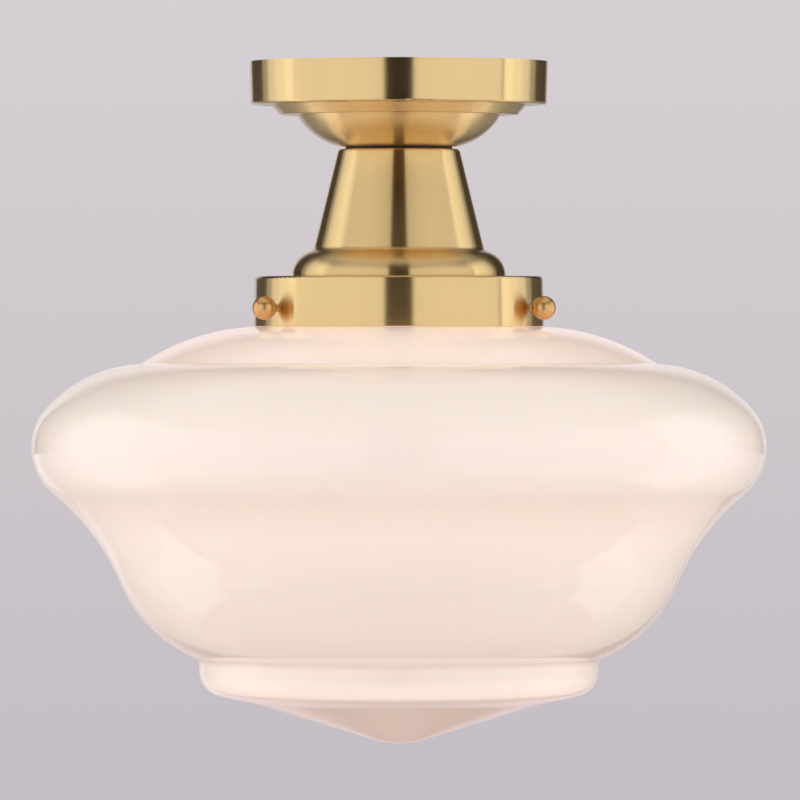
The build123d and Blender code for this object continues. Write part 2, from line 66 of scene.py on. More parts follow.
def make_camera():
    """Long lens level with the shade's shoulder, aimed at the middle of the light."""
    data = bpy.data.cameras.new("camera")
    data.sensor_width = SENSOR
    data.lens = SENSOR * FOCAL_PIXELS / PHOTO_WIDTH
    data.clip_end = CAMERA_REACH
    camera = bpy.data.objects.new("camera", data)
    bpy.context.collection.objects.link(camera)
    right = Vector((cos(CAMERA_TURN), sin(CAMERA_TURN), 0))
    place = Vector((sin(CAMERA_TURN), -cos(CAMERA_TURN), 0)) * CAMERA_DISTANCE
    place.z = CAMERA_HEIGHT
    aim = right * AIM_ASIDE + Vector((0, 0, AIM_HEIGHT))
    camera.location = place
    camera.rotation_euler = (aim - place).to_track_quat("-Z", "Y").to_euler()
    bpy.context.scene.camera = camera
    bpy.context.scene.view_settings.view_transform = "Standard"


# ---------------------------------------------------------------- material helpers

MIX_COLOURS = (6, 7)         # a Mix node's two colour inputs
MIX_RESULT = 2               # and its colour output
NOISE_RANGE = (0.3, 0.7)     # where nearly all of a noise's values lie


class Shader:
    """A principled material with short ways to add nodes."""

    def __init__(self, name, **values):
        self.material = bpy.data.materials.new(name)
        self.material.use_nodes = True
        self.tree = self.material.node_tree
        self.principled = self.tree.nodes["Principled BSDF"]
        for socket, value in values.items():
            self.principled.inputs[socket.replace("_", " ")].default_value = value

    def node(self, kind, **values):
        made = self.tree.nodes.new(kind)
        for key, value in values.items():
            if hasattr(made, key):
                setattr(made, key, value)
            else:
                made.inputs[key.replace("_", " ")].default_value = value
        return made

    def link(self, source, target):
        self.tree.links.new(source, target)

    def place(self):
        """Position on the object, in metres in the light's frame."""
        return self.node("ShaderNodeTexCoord").outputs["Object"]

    def math(self, operation, first, second=None):
        made = self.node("ShaderNodeMath", operation=operation)
        for index, value in enumerate((first, second)):
            if value is None:
                continue
            if isinstance(value, (int, float)):
                made.inputs[index].default_value = value
            else:
                self.link(value, made.inputs[index])
        return made.outputs[0]

    def noise(self, vector, scale, detail, roughness=0.5):
        made = self.node("ShaderNodeTexNoise", Scale=scale, Detail=detail, Roughness=roughness)
        self.link(vector, made.inputs["Vector"])
        return made.outputs["Fac"]

    def spread(self, value, low, high, to_low, to_high):
        """Maps a value from one range to another, clamped."""
        made = self.node("ShaderNodeMapRange")
        self.link(value, made.inputs["Value"])
        for socket, number in zip(("From Min", "From Max", "To Min", "To Max"),
                                  (low, high, to_low, to_high)):
            made.inputs[socket].default_value = number
        return made.outputs["Result"]

    def blend(self, factor, first, second):
        """Mixes two colours, given as tuples or sockets, by a number or a socket."""
        made = self.node("ShaderNodeMix", data_type="RGBA")
        if isinstance(factor, float):
            made.inputs["Factor"].default_value = factor
        else:
            self.link(factor, made.inputs["Factor"])
        for index, colour in zip(MIX_COLOURS, (first, second)):
            if isinstance(colour, tuple):
                made.inputs[index].default_value = (*colour, 1.0)
            else:
                self.link(colour, made.inputs[index])
        return made.outputs[MIX_RESULT]

    def toned(self, value, tones, limits=NOISE_RANGE):
        """A colour that wanders between two tones with a noise."""
        return self.blend(self.spread(value, *limits, 0, 1), *tones)

    def colour(self, source, socket="Base Color"):
        self.link(source, self.principled.inputs[socket])

    def gloss(self, value, low, high):
        """Roughness that wanders between two values with a noise."""
        self.link(self.spread(value, *NOISE_RANGE, low, high), self.principled.inputs["Roughness"])

    def bump(self, height, strength, distance):
        made = self.node("ShaderNodeBump", Strength=strength, Distance=distance)
        self.link(height, made.inputs["Height"])
        self.link(made.outputs["Normal"], self.principled.inputs["Normal"])


# ---------------------------------------------------------------- materials

BRASS_TONES = ((0.785, 0.570, 0.275), (0.815, 0.600, 0.295))
STREAK_TONES = ((0.74, 0.53, 0.25), (0.85, 0.63, 0.315))
STREAK_LIMITS = (0.35, 0.65)
STREAK_SHARE = 0.14
GRAIN_SCALE = 2400
GRAIN_STRETCH = 0.008        # of the grain along the turning marks, against across them
GRAIN_SLANT = 0.6            # lets the grain also change from front to back
# thumbscrew brass with a rosy tint that is a painted reflection of the glass
SCREW_BRASS_AND_PAINTED_REFLECTION_TONES = ((0.68, 0.40, 0.17), (0.76, 0.46, 0.20))
GLASS_TONES = ((0.788, 0.640, 0.563), (0.808, 0.660, 0.583))
GLASS_SCATTER = (1.0, 0.6, 0.45)
PAINTED_GLOW = (                     # height, and the warm glow painted into the glass there: painted light, with bands that stand in for light and shade
    (-0.350, (0.140, 0.065, 0.040)),
    # painted highlight along the ring's rounded lower edge
    (-0.343, (0.230, 0.165, 0.130)),
    (-0.333, (0.010, 0.000, 0.000)),
    (-0.322, (0.095, 0.060, 0.038)),
    (-0.285, (0.030, 0.010, 0.000)),
    (-0.258, (0.130, 0.100, 0.072)),
    (-0.240, (0.130, 0.095, 0.060)),
    (-0.215, (0.035, 0.025, 0.030)),
    (-0.180, (0.060, 0.065, 0.060)),
    (-0.163, (0.170, 0.125, 0.105)),
    (-0.145, (0.270, 0.195, 0.165)),
)


def around_axis(shader):
    """A vector that changes fast across the turning marks of a spun piece and slowly along them."""
    split = shader.node("ShaderNodeSeparateXYZ")
    shader.link(shader.place(), split.inputs[0])
    x, y, z = split.outputs
    square = shader.math("ADD", shader.math("POWER", x, 2), shader.math("POWER", y, 2))
    joined = shader.node("ShaderNodeCombineXYZ")
    shader.link(shader.math("SQRT", square), joined.inputs[0])
    shader.link(z, joined.inputs[1])
    aside = shader.math("ADD", x, shader.math("MULTIPLY", y, GRAIN_SLANT))
    shader.link(shader.math("MULTIPLY", aside, GRAIN_STRETCH), joined.inputs[2])
    return joined.outputs[0]


def satin_brass():
    """Brass brushed round its axis and lacquered."""
    shader = Shader("satin_brass", Metallic=1.0, Anisotropic=1.0, Anisotropic_Rotation=0.25)
    tangent = shader.node("ShaderNodeTangent", direction_type="RADIAL", axis="Z")
    shader.link(tangent.outputs[0], shader.principled.inputs["Tangent"])
    grain = shader.noise(around_axis(shader), GRAIN_SCALE, 2.0, 0.6)
    tone = shader.toned(shader.noise(shader.place(), 9, 2.0), BRASS_TONES)
    shader.colour(shader.blend(STREAK_SHARE, tone, shader.toned(grain, STREAK_TONES, STREAK_LIMITS)))
    shader.gloss(grain, 0.235, 0.255)
    shader.bump(grain, 0.004, 0.00001)
    return shader.material


def polished_brass():
    """Brass of the thumbscrews, tinted rosier: a painted reflection of the pink glass below them."""
    shader = Shader("polished_brass", Metallic=1.0)
    cloud = shader.noise(shader.place(), 140, 3.0)
    shader.colour(shader.toned(cloud, SCREW_BRASS_AND_PAINTED_REFLECTION_TONES))
    shader.gloss(cloud, 0.30, 0.36)
    shader.bump(shader.noise(shader.place(), 900, 2.0), 0.04, 0.00004)
    return shader.material


def painted_glow_by_height(shader, height):
    """The painted glow's colour, blended from one height of the painted glow table to the next."""
    made = shader.node("ShaderNodeValToRGB")
    lowest, highest = PAINTED_GLOW[0][0], PAINTED_GLOW[-1][0]
    shader.link(shader.spread(height, lowest, highest, 0, 1), made.inputs["Fac"])
    stops = made.color_ramp.elements
    stops.remove(stops[-1])
    for place, colour in PAINTED_GLOW:
        share = (place - lowest) / (highest - lowest)
        stop = stops.new(share) if share > 0 else stops[0]
        stop.color = (*colour, 1.0)
    return made.outputs["Color"]


def opal_glass():
    """Opal white glass, glossy outside, with a warm glow painted in by height: painted light, no lamp
    lights it.
    """
    shader = Shader("opal_glass", Roughness=0.06, IOR=1.42, Subsurface_Weight=0.5,
                    Subsurface_Scale=0.02, Subsurface_Radius=GLASS_SCATTER, Emission_Strength=1.0)
    split = shader.node("ShaderNodeSeparateXYZ")
    shader.link(shader.place(), split.inputs[0])
    shader.colour(shader.toned(shader.noise(shader.place(), 5, 2.0), GLASS_TONES))
    # painted light: emission by height stands in for light and shade on the glass
    shader.colour(painted_glow_by_height(shader, split.outputs["Z"]), "Emission Color")
    shader.bump(shader.noise(shader.place(), 14, 2.0), 0.05, 0.0006)
    return shader.material


def plain(name, dark, light, scale, roughness, bump_depth, **values):
    """A material whose colour and gloss wander a little, with a fine surface."""
    shader = Shader(name, **values)
    cloud = shader.noise(shader.place(), scale, 4.0)
    shader.colour(shader.toned(cloud, (dark, light)))
    shader.gloss(cloud, roughness * 0.8, roughness * 1.2)
    shader.bump(shader.noise(shader.place(), scale * 6, 3.0), 0.15, bump_depth)
    return shader.material


def make_materials():
    """One material for each slot of the record."""
    return {
        "satin_brass": satin_brass(),
        "polished_brass": polished_brass(),
        "opal_glass": opal_glass(),
        "zinc_steel": plain("zinc_steel", (0.50, 0.52, 0.54), (0.66, 0.67, 0.68), 160, 0.34, 0.00005,
                            Metallic=1.0),
        "cast_iron": plain("cast_iron", (0.16, 0.16, 0.17), (0.27, 0.27, 0.28), 260, 0.55, 0.0002,
                           Metallic=0.9),
        "nylon": plain("nylon", (0.78, 0.77, 0.72), (0.86, 0.85, 0.80), 300, 0.5, 0.00004),
        "porcelain": plain("porcelain", (0.84, 0.83, 0.79), (0.90, 0.89, 0.86), 60, 0.12, 0.00008),
        "contact_brass": plain("contact_brass", (0.76, 0.58, 0.30), (0.86, 0.69, 0.38), 220, 0.25,
                               0.00003, Metallic=1.0),
        "bulb_glass": plain("bulb_glass", (0.86, 0.85, 0.82), (0.92, 0.91, 0.88), 40, 0.35, 0.00003),
        "bulb_metal": plain("bulb_metal", (0.70, 0.70, 0.70), (0.82, 0.82, 0.82), 220, 0.28, 0.00003,
                            Metallic=1.0),
        "black_glass": plain("black_glass", (0.012, 0.012, 0.014), (0.03, 0.03, 0.03), 200, 0.12, 0.00003),
        "black_insulation": plain("black_insulation", (0.012, 0.012, 0.012), (0.03, 0.03, 0.03), 260,
                                  0.42, 0.00005),
        "white_insulation": plain("white_insulation", (0.76, 0.76, 0.74), (0.86, 0.86, 0.84), 260, 0.42,
                                  0.00005),
        "connector_plastic": plain("connector_plastic", (0.66, 0.20, 0.03), (0.80, 0.29, 0.06), 180, 0.45,
                                   0.00006),
        "copper": plain("copper", (0.72, 0.34, 0.20), (0.86, 0.46, 0.30), 260, 0.3, 0.00003, Metallic=1.0),
        "black_fibre": plain("black_fibre", (0.010, 0.008, 0.006), (0.022, 0.018, 0.014), 300, 0.6,
                             0.00005),
        "green_screw": plain("green_screw", (0.02, 0.20, 0.07), (0.05, 0.30, 0.12), 260, 0.3, 0.00004,
                             Metallic=0.7),
    }


# ---------------------------------------------------------------- room

AMBIENT = 0.78               # even light that reaches dull surfaces from all round
AMBIENT_COLOUR = (1.0, 0.97, 0.95)
DARK_ROOM = (0.012, 0.008, 0.004)
PALE_CEILING = (0.80, 0.77, 0.72)
CEILING_EDGE = (37, 56)      # degrees up, where reflections pass from dark room to ceiling
BACKDROP_LOW = (0.552, 0.515, 0.552)
BACKDROP_HIGH = (0.672, 0.630, 0.658)
BACKDROP_FADE = (-0.047, 0.037)  # upward share of the way seen, where low passes into high
BACKDROP_EDGE = (26, 15)     # degrees from straight behind, where room passes into backdrop

FLOOR_HEIGHT = -1.9
FLOOR_RADIUS = 8.0
FLOOR_SIDES = 96
FLOOR_TONES = ((0.56, 0.53, 0.555), (0.60, 0.57, 0.595))

# Turns are degrees round the light from the camera's side, rises degrees up from level.
LIGHT_CENTRE = Vector((0, 0, -0.19))
BOX_RISE = (-42, 36)
FRONT_START = 11
FRONT_SEAMS = ((-1, "left", 88), (1, "right", 86.5))  # side, its name and where its front box ends
FRONT_DISTANCE = 2.2
FRONT_RADIANCE = 1.02
SIDE_DISTANCE = 2.0
SIDE_STRIPS = ((88, 98, 1.30), (98, 110, 1.14), (110, 121, 0.96), (121, 130, 0.45))  # turns, radiance
REAR_DISTANCE = 2.4
REAR_FLAG_TURNS = (130, 158)
REAR_FLAG_RISE = (-2.7, 33)
REAR_FLAG_TONE = 0.05
LOW_FILL_TURNS = (130, 160)
LOW_FILL_RISE = (-50, -3)
LOW_FILL_RADIANCE = 0.32
FRONT_FLAG_TURNS = (-14.5, 14.5)
FRONT_FLAG_RISE = (-50, 50)
FRONT_FLAG_DISTANCE = 5.6    # behind the camera
FRONT_FLAG_TONE = 0.004
CLOTH_HUE = (1.0, 0.8, 0.52)
CLOTH_SHADE = (0.8, 0.64, 0.42)


def make_world():
    """Pale grey lavender behind the light, a dark room in reflections and soft even light for the rest."""
    world = bpy.data.worlds.new("world")
    bpy.context.scene.world = world
    world.use_nodes = True
    nodes = world.node_tree.nodes
    links = world.node_tree.links
    nodes.clear()

    def ramp(value, low, high):
        made = nodes.new("ShaderNodeMapRange")
        made.inputs["From Min"].default_value = low
        made.inputs["From Max"].default_value = high
        links.new(value, made.inputs["Value"])
        return made.outputs["Result"]

    def mix(factor, first, second):
        made = nodes.new("ShaderNodeMix")
        made.data_type = "RGBA"
        links.new(factor, made.inputs["Factor"])
        for index, colour in zip(MIX_COLOURS, (first, second)):
            if isinstance(colour, tuple):
                made.inputs[index].default_value = (*colour, 1)
            else:
                links.new(colour, made.inputs[index])
        return made.outputs[MIX_RESULT]

    path = nodes.new("ShaderNodeLightPath")
    coordinates = nodes.new("ShaderNodeTexCoord")
    split = nodes.new("ShaderNodeSeparateXYZ")
    links.new(coordinates.outputs["Generated"], split.inputs[0])
    upward, backward = split.outputs["Z"], split.outputs["Y"]
    backdrop = mix(ramp(upward, *BACKDROP_FADE), BACKDROP_LOW, BACKDROP_HIGH)
    ceiling_share = ramp(upward, *(sin(radians(angle)) for angle in CEILING_EDGE))
    room = mix(ceiling_share, DARK_ROOM, PALE_CEILING)
    backdrop_share = ramp(backward, *(cos(radians(angle)) for angle in BACKDROP_EDGE))
    reflected = mix(backdrop_share, room, backdrop)
    shown = mix(path.outputs["Is Glossy Ray"], backdrop, reflected)
    picture = nodes.new("ShaderNodeBackground")
    links.new(shown, picture.inputs["Color"])
    lighting = nodes.new("ShaderNodeBackground")
    lighting.inputs["Color"].default_value = (*AMBIENT_COLOUR, 1)
    lighting.inputs["Strength"].default_value = AMBIENT
    seen = path.outputs["Is Camera Ray"]
    for kind in ("Is Glossy Ray", "Is Transmission Ray"):
        either = nodes.new("ShaderNodeMath")
        either.operation = "MAXIMUM"
        links.new(seen, either.inputs[0])
        links.new(path.outputs[kind], either.inputs[1])
        seen = either.outputs[0]
    choice = nodes.new("ShaderNodeMixShader")
    links.new(seen, choice.inputs["Fac"])
    links.new(lighting.outputs[0], choice.inputs[1])
    links.new(picture.outputs[0], choice.inputs[2])
    out = nodes.new("ShaderNodeOutputWorld")
    links.new(choice.outputs[0], out.inputs["Surface"])


def make_floor():
    """Round pale floor, well below the light."""
    mesh = bpy.data.meshes.new("floor")
    shape = bmesh.new()
    bmesh.ops.create_circle(shape, cap_ends=True, radius=FLOOR_RADIUS, segments=FLOOR_SIDES)
    shape.to_mesh(mesh)
    shape.free()
    floor = bpy.data.objects.new("floor", mesh)
    floor.location.z = FLOOR_HEIGHT
    bpy.context.collection.objects.link(floor)
    shader = Shader("floor_paint", Roughness=0.8)
    shader.colour(shader.blend(shader.noise(shader.place(), 1.5, 3.0), *FLOOR_TONES))
    floor.data.materials.append(shader.material)
    floor.visible_glossy = False


def around(turn, distance, height=0.0):
    """A place round the light: turn in degrees from the camera's side, positive to its right."""
    angle = CAMERA_TURN + radians(turn)
    return LIGHT_CENTRE + Vector((sin(angle) * distance, -cos(angle) * distance, height))


def panel(turns, rise, distance):
    """Middle, facing, width and height of an upright panel that fills turns and a rise."""
    middle = sum(turns) / 2
    low, high = (distance * tan(radians(angle)) for angle in rise)
    width = 2 * distance * tan(radians(abs(turns[1] - turns[0]) / 2))
    inward = around(middle, 0) - around(middle, distance)
    place = around(middle, distance, (low + high) / 2)
    return place, inward.to_track_quat("-Z", "Y").to_euler(), width, high - low


def make_softbox(name, turns, rise, distance, radiance):
    """Area lamp that fills turns and a rise, evenly bright."""
    data = bpy.data.lights.new(name, "AREA")
    data.shape = "RECTANGLE"
    lamp = bpy.data.objects.new(name, data)
    lamp.location, lamp.rotation_euler, data.size, data.size_y = panel(turns, rise, distance)
    data.energy = radiance * pi * data.size * data.size_y
    lamp.visible_camera = False
    bpy.context.collection.objects.link(lamp)


def make_flag(name, turns, rise, distance, tone):
    """Dark brown panel that only reflections see."""
    place, facing, width, height = panel(turns, rise, distance)
    mesh = bpy.data.meshes.new(name)
    corners = [(x * width / 2, y * height / 2, 0) for x, y in ((-1, -1), (1, -1), (1, 1), (-1, 1))]
    mesh.from_pydata(corners, [], [(0, 1, 2, 3)])
    flag = bpy.data.objects.new(name, mesh)
    flag.location = place
    flag.rotation_euler = facing
    flag.visible_camera = False
    flag.visible_diffuse = False
    flag.visible_shadow = False
    flag.visible_transmission = False
    bpy.context.collection.objects.link(flag)
    shader = Shader(name + "_cloth", Roughness=0.9)
    dark, light = (tuple(share * tone for share in hue) for hue in (CLOTH_SHADE, CLOTH_HUE))
    shader.colour(shader.blend(shader.noise(shader.place(), 4, 2.0), dark, light))
    mesh.materials.append(shader.material)


def make_lights():
    """Broad boxes in front with a dark gap, brighter ones beside, dark cloth and low dim boxes behind."""
    for side, name, seam in FRONT_SEAMS:
        make_softbox(f"front_{name}", (side * FRONT_START, side * seam), BOX_RISE, FRONT_DISTANCE,
                     FRONT_RADIANCE)
        for strip, (start, end, radiance) in enumerate(SIDE_STRIPS):
            make_softbox(f"side_{name}_{strip}", (side * start, side * end), BOX_RISE, SIDE_DISTANCE,
                         radiance)
        make_flag(f"rear_flag_{name}", [side * turn for turn in REAR_FLAG_TURNS], REAR_FLAG_RISE,
                  REAR_DISTANCE, REAR_FLAG_TONE)
        make_softbox(f"low_fill_{name}", [side * turn for turn in LOW_FILL_TURNS], LOW_FILL_RISE,
                     REAR_DISTANCE, LOW_FILL_RADIANCE)
    make_flag("front_flag", FRONT_FLAG_TURNS, FRONT_FLAG_RISE, FRONT_FLAG_DISTANCE, FRONT_FLAG_TONE)


# ---------------------------------------------------------------- outlines

# An outline is a list of complex numbers: radius from the axis + height * 1j, in millimetres.
ARC_TURN = radians(4)        # the most that an arc turns from one point to the next
ARC_STEP = 2.0               # and the most that it moves
SAME_POINT = 0.01


def toward(centre, reach, angle):
    """The point at a distance from a centre, at an angle in degrees up from level."""
    return centre + rect(reach, radians(angle))


def facing_point(centre, other, radius):
    """The point of a circle that faces another centre."""
    return centre + (other - centre) / abs(other - centre) * radius


def circles_meet(first, first_radius, second, second_radius):
    """Where two circles cross, on the left hand of the way from the first centre to the second."""
    way = second - first
    along = (first_radius**2 - second_radius**2 + abs(way)**2) / (2 * abs(way))
    return first + way / abs(way) * (along + 1j * sqrt(first_radius**2 - along**2))


def below(centre, radius, place):
    """The point of a circle's lower half at a distance from the axis."""
    return complex(place, centre.imag - sqrt(radius**2 - (place - centre.real)**2))


def bend(centre, start, end):
    """Points along the shorter arc about a centre from start to end."""
    turn = phase((end - centre) / (start - centre))
    count = max(3, ceil(abs(turn) / ARC_TURN), ceil(abs(turn) * abs(start - centre) / ARC_STEP))
    return [centre + (start - centre) * rect(1, turn * step / count) for step in range(count + 1)]


def rounded(points, radii):
    """Points of an open outline whose inner corners are rounded."""
    outline = [points[0]]
    for before, corner, after, radius in zip(points, points[1:], points[2:], radii):
        back, on = (before - corner) / abs(before - corner), (after - corner) / abs(after - corner)
        half = abs(phase(on / back)) / 2
        run = radius / tan(half)
        centre = corner + (back + on) / abs(back + on) * radius / sin(half)
        outline += bend(centre, corner + back * run, corner + on * run)
    return [*outline, points[-1]]


def joined(*runs):
    """Runs of points end to end, without repeats."""
    outline = []
    for point in (point for run in runs for point in run):
        if not outline or abs(point - outline[-1]) > SAME_POINT:
            outline.append(point)
    return outline


# ---------------------------------------------------------------- opal glass shade

# The glass's sizes, in millimetres; heights are above the ceiling plane, so below zero.
SKIN_INSET = 0.08            # keeps the finer mesh inside the plain one
GLASS_WALL = 3.0
FITTER_MOUTH = -143.9
SHADE_TOP = FITTER_MOUTH - 0.2
NECK_RADIUS = 70.5
NECK_FOOT_ROUND = 3.2
NECK_HEIGHT = 23.2
LIP_WIDTH = 3.9
LIP_BASE = -131.9
LIP_ROUND = 2.0
SHOULDER_ROUND = 119.8
SHOULDER_CREASE_ROUND = 4.0
SHADE_RADIUS = 200.0
BELLY_DEPTH = 66.2           # from the fitter's mouth to the belly's widest place
BELLY_ROUND = 32.9
BULGE_ROUND = 73.4
BULGE_JOIN = 43.1            # degrees up from level, where bulge and belly meet
WAIST_ROUND = 116.8
WAIST_JOIN = 51.5            # degrees down from level, where belly and waist meet
HIP_ROUND = 78.7
HIP_JOIN = 22.5              # degrees up from level, where waist and hip meet
RING_RADIUS = 108.8
RING_CREASE_ROUND = 4.0
RING_SIDE_HEIGHT = 3.3       # of the ring's straight side
RING_ROUND = 13.6
RING_TURN = 75.0             # degrees down from level, where ring and underside meet
UNDERSIDE_ROUND = 180.0
BASE_CREASE_PLACE = 89.5
BASE_CREASE_ROUND = 50.0
BASE_HEIGHT = 39.5           # from the centre of the ring's round edge to the tip
BASE_TIP_ROUND = 47.0
SHADE_SIDES = 256
SHARP_EDGE = radians(35)     # edges with a greater angle stay sharp


def shade_skin(inset):
    """The shade's skin from the foot of its neck to its tip, drawn inset from the outside."""
    belly = complex(SHADE_RADIUS - BELLY_ROUND, FITTER_MOUTH - BELLY_DEPTH)
    bulge = toward(belly, BULGE_ROUND - BELLY_ROUND, 180 + BULGE_JOIN)
    waist = toward(belly, BELLY_ROUND + WAIST_ROUND, -WAIST_JOIN)
    hip = toward(waist, WAIST_ROUND + HIP_ROUND, 180 - HIP_JOIN)
    neck_place = NECK_RADIUS + NECK_FOOT_ROUND
    shoulder = complex(neck_place, SHADE_TOP - SHOULDER_ROUND)
    neck_foot = complex(neck_place, SHADE_TOP + NECK_FOOT_ROUND)
    shoulder_crease = circles_meet(shoulder, SHOULDER_ROUND + SHOULDER_CREASE_ROUND,
                                   bulge, BULGE_ROUND + SHOULDER_CREASE_ROUND)
    ring_crease = below(hip, HIP_ROUND + RING_CREASE_ROUND, RING_RADIUS + RING_CREASE_ROUND)
    ring = complex(RING_RADIUS - RING_ROUND, ring_crease.imag - RING_SIDE_HEIGHT)
    underside = toward(ring, UNDERSIDE_ROUND - RING_ROUND, 180 - RING_TURN)
    base_crease = below(underside, UNDERSIDE_ROUND + BASE_CREASE_ROUND, BASE_CREASE_PLACE)
    tip = complex(0, ring.imag - BASE_HEIGHT + BASE_TIP_ROUND)
    way = base_crease - tip
    slope = degrees(phase(way) + asin((BASE_TIP_ROUND + BASE_CREASE_ROUND) / abs(way)))

    neck_side = complex(NECK_RADIUS - inset, neck_foot.imag)
    shoulder_start = complex(neck_place, SHADE_TOP - inset)
    shoulder_end = facing_point(shoulder, shoulder_crease, SHOULDER_ROUND - inset)
    bulge_start = facing_point(bulge, shoulder_crease, BULGE_ROUND - inset)
    belly_start = toward(belly, BELLY_ROUND - inset, BULGE_JOIN)
    belly_end = toward(belly, BELLY_ROUND - inset, -WAIST_JOIN)
    hip_start = toward(hip, HIP_ROUND - inset, -HIP_JOIN)
    hip_end = facing_point(hip, ring_crease, HIP_ROUND - inset)
    ring_side = RING_RADIUS - inset
    ring_end = toward(ring, RING_ROUND - inset, -RING_TURN)
    underside_end = facing_point(underside, base_crease, UNDERSIDE_ROUND - inset)
    return joined(
        bend(neck_foot, neck_side, shoulder_start),
        bend(shoulder, shoulder_start, shoulder_end),
        bend(shoulder_crease, shoulder_end, bulge_start),
        bend(bulge, bulge_start, belly_start),
        bend(belly, belly_start, belly_end),
        bend(waist, belly_end, hip_start),
        bend(hip, hip_start, hip_end),
        bend(ring_crease, hip_end, complex(ring_side, ring_crease.imag)),
        bend(ring, complex(ring_side, ring.imag), ring_end),
        bend(underside, ring_end, underside_end),
        bend(base_crease, underside_end, toward(base_crease, BASE_CREASE_ROUND + inset, slope + 90)),
        bend(tip, toward(tip, BASE_TIP_ROUND - inset, slope - 90), tip - (BASE_TIP_ROUND - inset) * 1j),
    )


def shade_outline():
    """Closed glass: up the outside from the tip, round the lip and down the inside."""
    foot = SHADE_TOP + NECK_FOOT_ROUND
    outer = NECK_RADIUS - SKIN_INSET
    bore = NECK_RADIUS - GLASS_WALL + SKIN_INSET
    lip = NECK_RADIUS + LIP_WIDTH - SKIN_INSET
    low = LIP_BASE + SKIN_INSET
    high = SHADE_TOP + NECK_HEIGHT - SKIN_INSET
    rim = rounded(
        [complex(outer, foot), complex(outer, low), complex(lip, low), complex(lip, high),
         complex(bore, high), complex(bore, foot)],
        (LIP_ROUND / 2, LIP_ROUND / 2, LIP_ROUND, LIP_ROUND / 2))
    return joined(shade_skin(SKIN_INSET)[::-1], rim, shade_skin(GLASS_WALL - SKIN_INSET))


def finish_mesh(name, points, faces):
    """A smooth object of points in millimetres."""
    mesh = bpy.data.meshes.new(name)
    mesh.from_pydata([Vector(point) * MM for point in points], [], faces)
    shape = bmesh.new()
    shape.from_mesh(mesh)
    bmesh.ops.recalc_face_normals(shape, faces=shape.faces)
    shape.to_mesh(mesh)
    shape.free()
    for polygon in mesh.polygons:
        polygon.use_smooth = True
    mesh.set_sharp_from_angle(angle=SHARP_EDGE)
    piece = bpy.data.objects.new(name, mesh)
    bpy.context.collection.objects.link(piece)
    return piece


def lathe(name, outline, sides):
    """Turns an outline that starts and ends on the axis."""
    points = [(0, 0, outline[0].imag)]
    for place in outline[1:-1]:
        for step in range(sides):
            angle = 2 * pi * step / sides
            points.append((place.real * cos(angle), place.real * sin(angle), place.imag))
    points.append((0, 0, outline[-1].imag))
    faces = []
    rings = len(outline) - 2
    for step in range(sides):
        onward = (step + 1) % sides
        faces.append((0, 1 + onward, 1 + step))
        for ring in range(rings - 1):
            base = 1 + ring * sides
            faces.append((base + step, base + onward, base + sides + onward, base + sides + step))
        base = 1 + (rings - 1) * sides
        faces.append((base + step, base + onward, len(points) - 1))
    return finish_mesh(name, points, faces)


# ---------------------------------------------------------------- turned, threaded and ribbed pieces

# Sizes in millimetres.
THREAD_STEPS = 8             # rings to each turn of a thread

# Ball-headed screws: spigot, threaded shank and ball
SCREW_PITCH = 0.79375
SCREW_CREST = 2.06
SCREW_DEPTH = 0.34
SCREW_ANGLES = (-150, -30, 90)
SCREW_SIDES = 64
SCREW_RUN_OUT = 0.5          # from the thread's end to the ball
PAD_SIDE = 73.8              # where the screw's shank begins and its spigot ends
SHANK_CHAMFER = 0.25
SPIGOT_RADIUS = 1.15
SPIGOT_LENGTH = 1.55
SPIGOT_CHAMFER = 0.2
BALL_RADIUS = 6.48
BALL_RINGS = 40
BALL_POLE = 1                # degrees from the ball's pole to its last ring

# Threaded tubes, and nuts on them
TUBE_PITCH = 0.9407
TUBE_CREST = 5.08
TUBE_DEPTH = 0.42
TUBE_BORE = 3.42
TUBE_INSET = 0.02
TUBE_SIDES = 48
NUT_ACROSS = 14.98
NUT_BORE = 5.12
NUT_CHAMFER = 0.9
NUT_FACE_INSET = 0.1         # of the round end face from the flats
NUT_CHAMFER_STEPS = 4
NUT_SIDES = 96

# Twist-on connectors: a smooth skirt, then a ribbed and tapered cap
CAP_MOUTH = 5.78
CAP_TIP = 3.58
CAP_BORE = 3.6
CAP_BORE_DEPTH = 12.0
CAP_INSET = 0.05
CAP_EDGE = 0.5
CAP_SIDES = 112
CAP_END = ((0.9, 0.1), (0.3, 0.6), (0.05, 1.4))  # before the far end, and in from the tip's radius
SKIRT_SHARE = 1 / 3          # of the cap's length
SKIRT_STEP = 0.4             # down from the skirt to the ribs
SKIRT_STEP_RUN = 1
TIP_LENGTH = 1               # from the ribs to the far end
RIBS = 14
RIB_DEPTH = 0.7
RIB_RINGS = 12
RIB_FADE = 8                 # ribs rise and fall over one part in this of their length
RIB_INSET = 0.2


def skinned(name, rings, sides, place, loop=False):
    """Closed skin over rings about a local Z: heights with a radius, or a function of the turn."""
    points = []
    for height, radius in rings:
        for step in range(sides):
            angle = 2 * pi * step / sides
            reach = radius(angle) if callable(radius) else radius
            points.append(place @ Vector((reach * cos(angle), reach * sin(angle), height)))
    faces = []
    count = len(rings)
    for ring in range(count if loop else count - 1):
        base, over = ring * sides, (ring + 1) % count * sides
        for step in range(sides):
            onward = (step + 1) % sides
            faces.append((base + step, base + onward, over + onward, over + step))
    if not loop:
        faces.append(tuple(range(sides))[::-1])
        faces.append(tuple(range((count - 1) * sides, count * sides)))
    return finish_mesh(name, points, faces)


def thread(crest, depth, pitch, low, high):
    """Rings of a V thread between two heights, run out at its ends."""
    rings = []
    count = ceil((high - low) / pitch * THREAD_STEPS)
    for step in range(count + 1):
        height = low + (high - low) * step / count
        fade = min(1, (height - low) / pitch, (high - height) / pitch)

        def reach(angle, height=height, fade=fade):
            saw = abs((height / pitch - angle / (2 * pi)) % 1 * 2 - 1)
            return crest - depth * (1 - fade * saw)
        rings.append((height, reach))
    return rings


